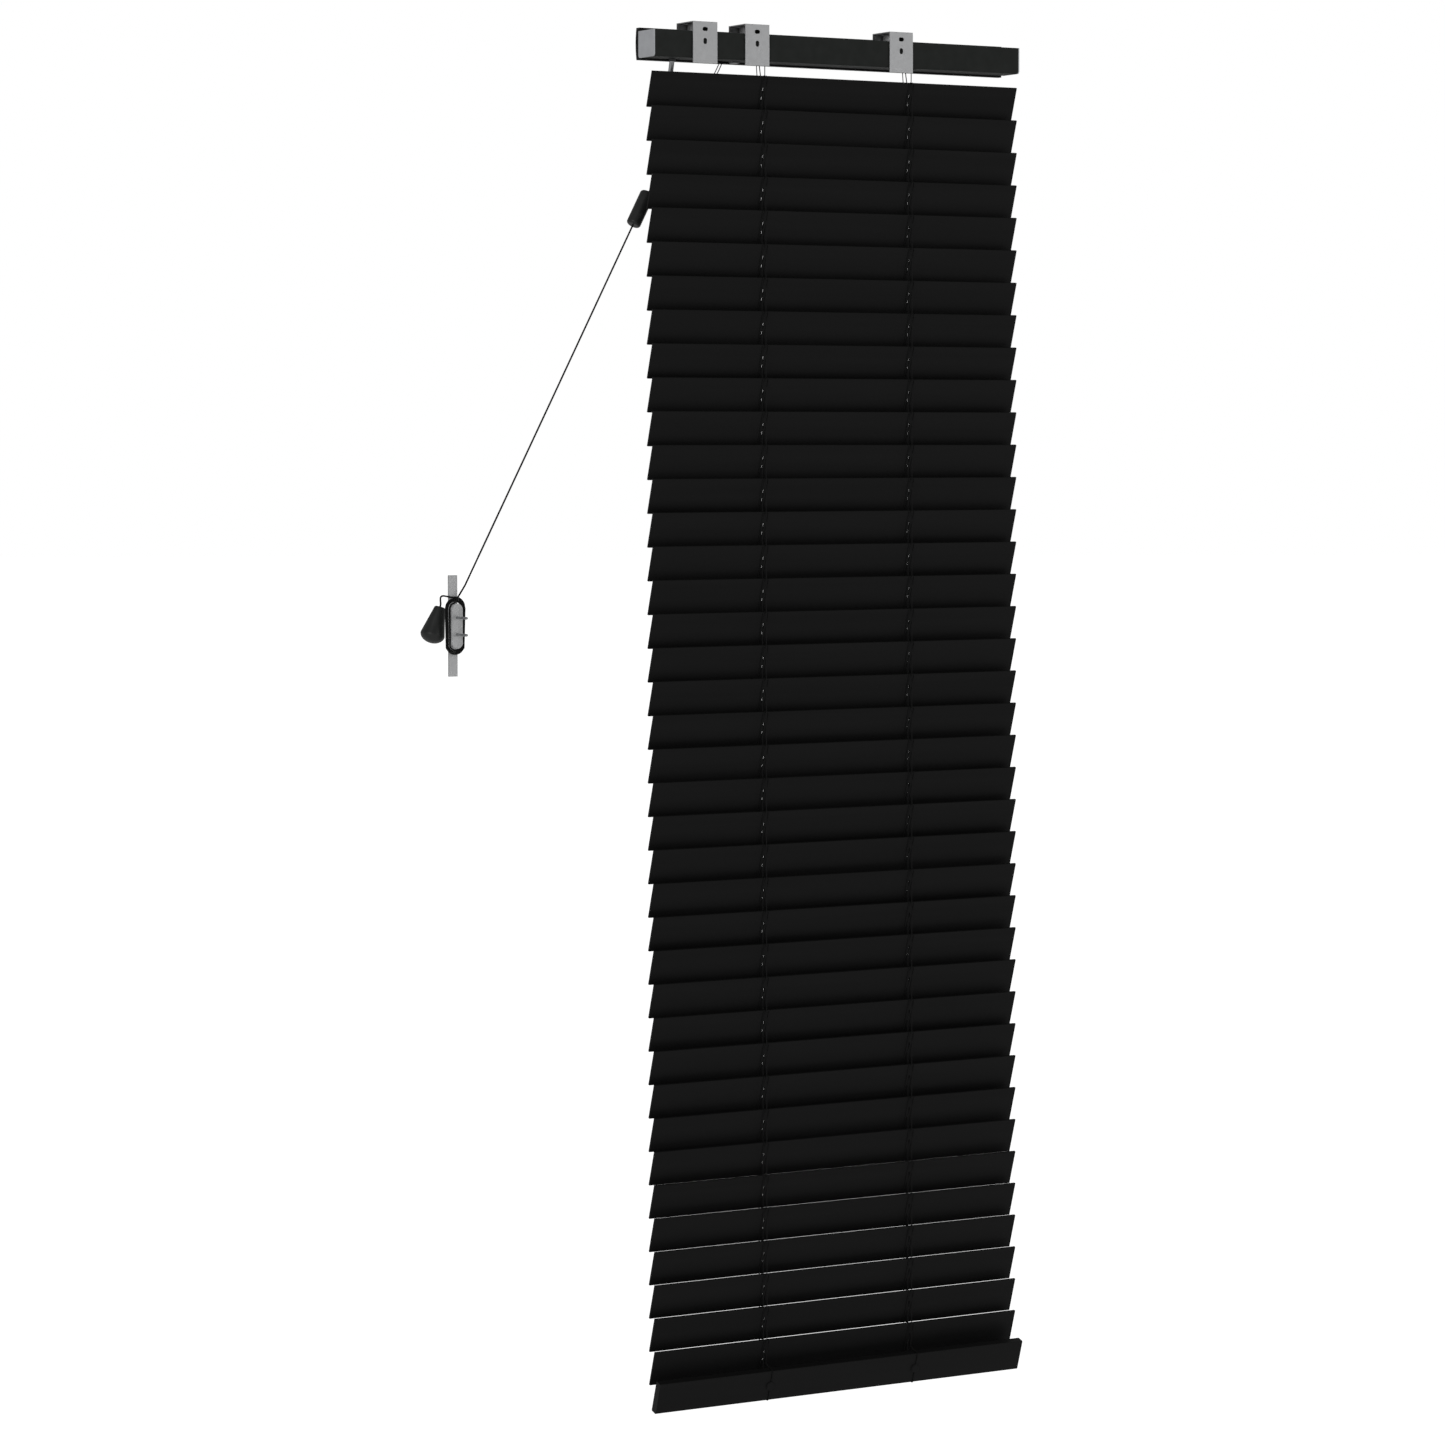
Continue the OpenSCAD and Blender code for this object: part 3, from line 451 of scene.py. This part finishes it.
def braid_group():
    """Two families of slanted ridges, sin(turn + along) and sin(turn - along), the larger on top; the height is
    also the mask, so the tone is darker in the grooves between strands as painted shade.
    """
    group, gin, gout = new_group("braid_ridges", {"Per Metre": 900},
                                 {"Height": "NodeSocketFloat", "Mask": "NodeSocketFloat"})
    uv = add(group, "ShaderNodeSeparateXYZ", [(0, add(group, "ShaderNodeUVMap", uv_map="braid").outputs[0])])
    strands = 4
    turn = add(group, "ShaderNodeMath", [(0, uv.outputs[0]), (1, strands * 2 * math.pi)],
               operation="MULTIPLY")
    along = add(group, "ShaderNodeMath", [(0, uv.outputs[1]), (1, gin.outputs["Per Metre"])],
                operation="MULTIPLY")
    along = add(group, "ShaderNodeMath", [(0, along.outputs[0]), (1, 2 * math.pi)], operation="MULTIPLY")
    ridges = []
    for way in ("ADD", "SUBTRACT"):
        both = add(group, "ShaderNodeMath", [(0, turn.outputs[0]), (1, along.outputs[0])], operation=way)
        ridges.append(add(group, "ShaderNodeMath", [(0, both.outputs[0])], operation="SINE"))
    top = add(group, "ShaderNodeMath", [(0, ridges[0].outputs[0]), (1, ridges[1].outputs[0])],
              operation="MAXIMUM")
    ramp = add(group, "ShaderNodeMapRange", [("Value", top.outputs[0]), ("From Min", -0.5),
                                             ("From Max", 1.0)])
    group.links.new(ramp.outputs[0], gout.inputs["Height"])
    # The ridge height is also the mask: the grooves between strands take the dark tone, a painted shade.
    group.links.new(ramp.outputs[0], gout.inputs["Mask"])
    return group


groups = {"grain": grain_group(), "mould": mould_group(), "metal": metal_group(), "braid": braid_group()}
print("node groups:", sorted(g.name for g in groups.values()))


# %% One recipe for the finishes
def finish(name, effect, dark, light, rough, bump, metallic=0.0, coat=0.0, settings=None, **plain):
    """A material: the effect's mask mixes two tones and two roughnesses, its height drives a small bump."""
    material = bpy.data.materials.new(name)
    material.use_nodes = True
    tree = material.node_tree
    shader = tree.nodes["Principled BSDF"]
    source = add(tree, "ShaderNodeGroup", node_tree=groups[effect])
    for label, value in (settings or {}).items():
        source.inputs[label].default_value = value
    tones = add(tree, "ShaderNodeMix", data_type="RGBA")
    tones.inputs[6].default_value = (*dark, 1)
    tones.inputs[7].default_value = (*light, 1)
    tree.links.new(source.outputs["Mask"], tones.inputs[0])
    tree.links.new(tones.outputs[2], shader.inputs["Base Color"])
    spread = add(tree, "ShaderNodeMapRange", [("Value", source.outputs["Mask"]), ("To Min", rough[0]),
                                              ("To Max", rough[1])])
    tree.links.new(spread.outputs[0], shader.inputs["Roughness"])
    relief = add(tree, "ShaderNodeBump", [("Height", source.outputs["Height"]), ("Strength", bump[0]),
                                          ("Distance", bump[1])])
    tree.links.new(relief.outputs[0], shader.inputs["Normal"])
    shader.inputs["Metallic"].default_value = metallic
    shader.inputs["Coat Weight"].default_value = coat
    for label, value in plain.items():
        shader.inputs[label.replace("_", " ")].default_value = value
    return material


# %% [markdown]
# The slats, the bottom rail and the valance are wood under thin satin black paint: almost even, with a
# faint grain along their length. The headrail is black enamelled steel, the brackets are bare zinc-coated
# sheet, and the end caps, drums and cradles are moulded. The cleat is a clear plastic that has gone a
# little cloudy.

# %% Materials
def grey(value):
    return (value, value, value)


# Each finish: its effect, dark and light tone, low and high roughness, and the bump's strength and depth.
finishes = {
    "black_wood": finish("satin_black_wood", "grain", grey(0.0062), grey(0.0081), (0.42, 0.52),
                         (0.18, 0.0003), Specular_IOR_Level=0.1),
    "black_steel": finish("black_enamel", "mould", (0.022, 0.0238, 0.0224), (0.027, 0.0288, 0.0274),
                          (0.45, 0.55), (0.06, 0.0002), Specular_IOR_Level=0.02),
    "grey_plastic": finish("grey_cap_plastic", "mould", (0.42, 0.43, 0.45), (0.48, 0.49, 0.51), (0.4, 0.5),
                           (0.1, 0.0002)),
    "zinc_steel": finish("zinc_sheet", "metal", (0.3, 0.303, 0.308), (0.4, 0.403, 0.408), (0.36, 0.52),
                         (0.08, 0.0002), metallic=0.85),
    "rod_steel": finish("drawn_steel", "metal", (0.40, 0.41, 0.42), (0.5, 0.51, 0.52), (0.25, 0.4),
                        (0.06, 0.0002), metallic=1.0, settings={"Spangle": 0.1}),
    "white_plastic": finish("natural_nylon", "mould", (0.60, 0.60, 0.55), (0.68, 0.68, 0.63), (0.4, 0.5),
                            (0.08, 0.0002), Subsurface_Weight=0.1),
    "dark_plastic": finish("dark_housing_plastic", "mould", (0.02, 0.022, 0.023), (0.027, 0.029, 0.03),
                           (0.4, 0.5), (0.1, 0.0002)),
    # The cord's dark tone lies in the braid's grooves and its light tone on the crests: painted shade between the
    # strands.
    "black_cord": finish("black_braid", "braid", grey(0.007), grey(0.013), (0.7, 0.85), (0.2, 0.0002),
                         Specular_IOR_Level=0.1),
    "black_gloss": finish("black_moulding", "mould", (0.015, 0.016, 0.0155), (0.02, 0.021, 0.0205),
                          (0.35, 0.45), (0.05, 0.0002), Specular_IOR_Level=0.3),
    "clear_plastic": finish("cloudy_clear_plastic", "mould", (0.62, 0.625, 0.63), (0.72, 0.725, 0.73),
                            (0.2, 0.32), (0.03, 0.0002), Transmission_Weight=0.45, IOR=1.49),
    "wand_black": finish("black_wand", "mould", grey(0.012), grey(0.016), (0.25, 0.35), (0.04, 0.0002),
                         coat=0.3),
}
slot_of = {s["node"]: s["material_slot"] for s in frame["record"]["subparts"]}
for piece in [o for o in bpy.context.scene.objects if o.type == "MESH"]:
    word = slot_of.get(piece.name) or piece.get("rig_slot")
    if not piece.data.materials:
        piece.data.materials.append(None)
    for index in range(len(piece.data.materials)):
        piece.material_slots[index].material = finishes[word]
print("finishes:", len(finishes))

# %% [markdown]
# ## Floor and light
# A pale floor lies well below the hanging blind. A bright even surround lights it, with one large soft
# lamp from the camera's left to show the slats' edges, and a weaker one from the right.

# %% Floor
FLOOR_DROP, FLOOR_REACH = 0.06, 60.0
FLOOR_SEEN, FLOOR_LIT = 1.0, 0.42
FLOOR_GREY, FLOOR_ROUGH = 0.3, 0.9
floor_z = cad_low[2] - FLOOR_DROP
corners = [(x * FLOOR_REACH, y * FLOOR_REACH, floor_z) for x, y in ((-1, -1), (1, -1), (1, 1), (-1, 1))]
floor_mesh = bpy.data.meshes.new("floor")
floor_mesh.from_pydata(corners, [], [(0, 1, 2, 3)])
floor = bpy.data.objects.new("floor", floor_mesh)
bpy.context.scene.collection.objects.link(floor)
floor_paint = bpy.data.materials.new("pale_floor")
floor_paint.use_nodes = True
floor_tree = floor_paint.node_tree
floor_shader = floor_tree.nodes["Principled BSDF"]
floor_shader.inputs["Base Color"].default_value = (*grey(FLOOR_GREY), 1)
floor_shader.inputs["Roughness"].default_value = FLOOR_ROUGH
floor_shader.inputs["Specular IOR Level"].default_value = 0.0
floor_shader.inputs["Emission Color"].default_value = (1, 1, 1, 1)
floor_ray = add(floor_tree, "ShaderNodeLightPath")
floor_glow = add(floor_tree, "ShaderNodeMapRange", [("Value", floor_ray.outputs["Is Camera Ray"]),
                                                    ("To Min", FLOOR_LIT), ("To Max", FLOOR_SEEN)])
floor_tree.links.new(floor_glow.outputs["Result"], floor_shader.inputs["Emission Strength"])
floor_mesh.materials.append(floor_paint)
floor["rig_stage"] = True


# %% Lamps
def soft_lamp(name, place, target, size, power):
    """A square lamp of that size in metres and power in watts, turned to the target."""
    data = bpy.data.lights.new(name, "AREA")
    data.size, data.energy = size, power
    lamp = bpy.data.objects.new(name, data)
    bpy.context.scene.collection.objects.link(lamp)
    lamp.location = place
    lamp.rotation_euler = (Vector(target) - Vector(place)).to_track_quat("-Z", "Y").to_euler()


LAMP_SIZE = 2.5
middle = tuple((a + b) / 2 for a, b in zip(cad_low, cad_high))
soft_lamp("lamp_left", (4.5, 3.0, 1.0), middle, LAMP_SIZE, 70)
soft_lamp("lamp_right", (-3.0, 4.5, 0.5), middle, LAMP_SIZE, 35)
world = bpy.data.worlds.new("surround")
bpy.context.scene.world = world
world.use_nodes = True
SEEN_WHITE, LIT_WHITE = 1.0, 0.3
background = world.node_tree.nodes["Background"]
background.inputs[0].default_value = (1, 1, 1, 1)
ray = add(world.node_tree, "ShaderNodeLightPath")
strength = add(world.node_tree, "ShaderNodeMapRange", [("Value", ray.outputs["Is Camera Ray"]),
                                                       ("To Min", LIT_WHITE), ("To Max", SEEN_WHITE)])
world.node_tree.links.new(strength.outputs[0], background.inputs[1])
bpy.context.scene.view_settings.view_transform = "Standard"
print("floor at", round(floor_z, 3))

# %% Sizes, and the end
low, high = (list(v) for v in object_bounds())
print("visual box from", low, "to", high)
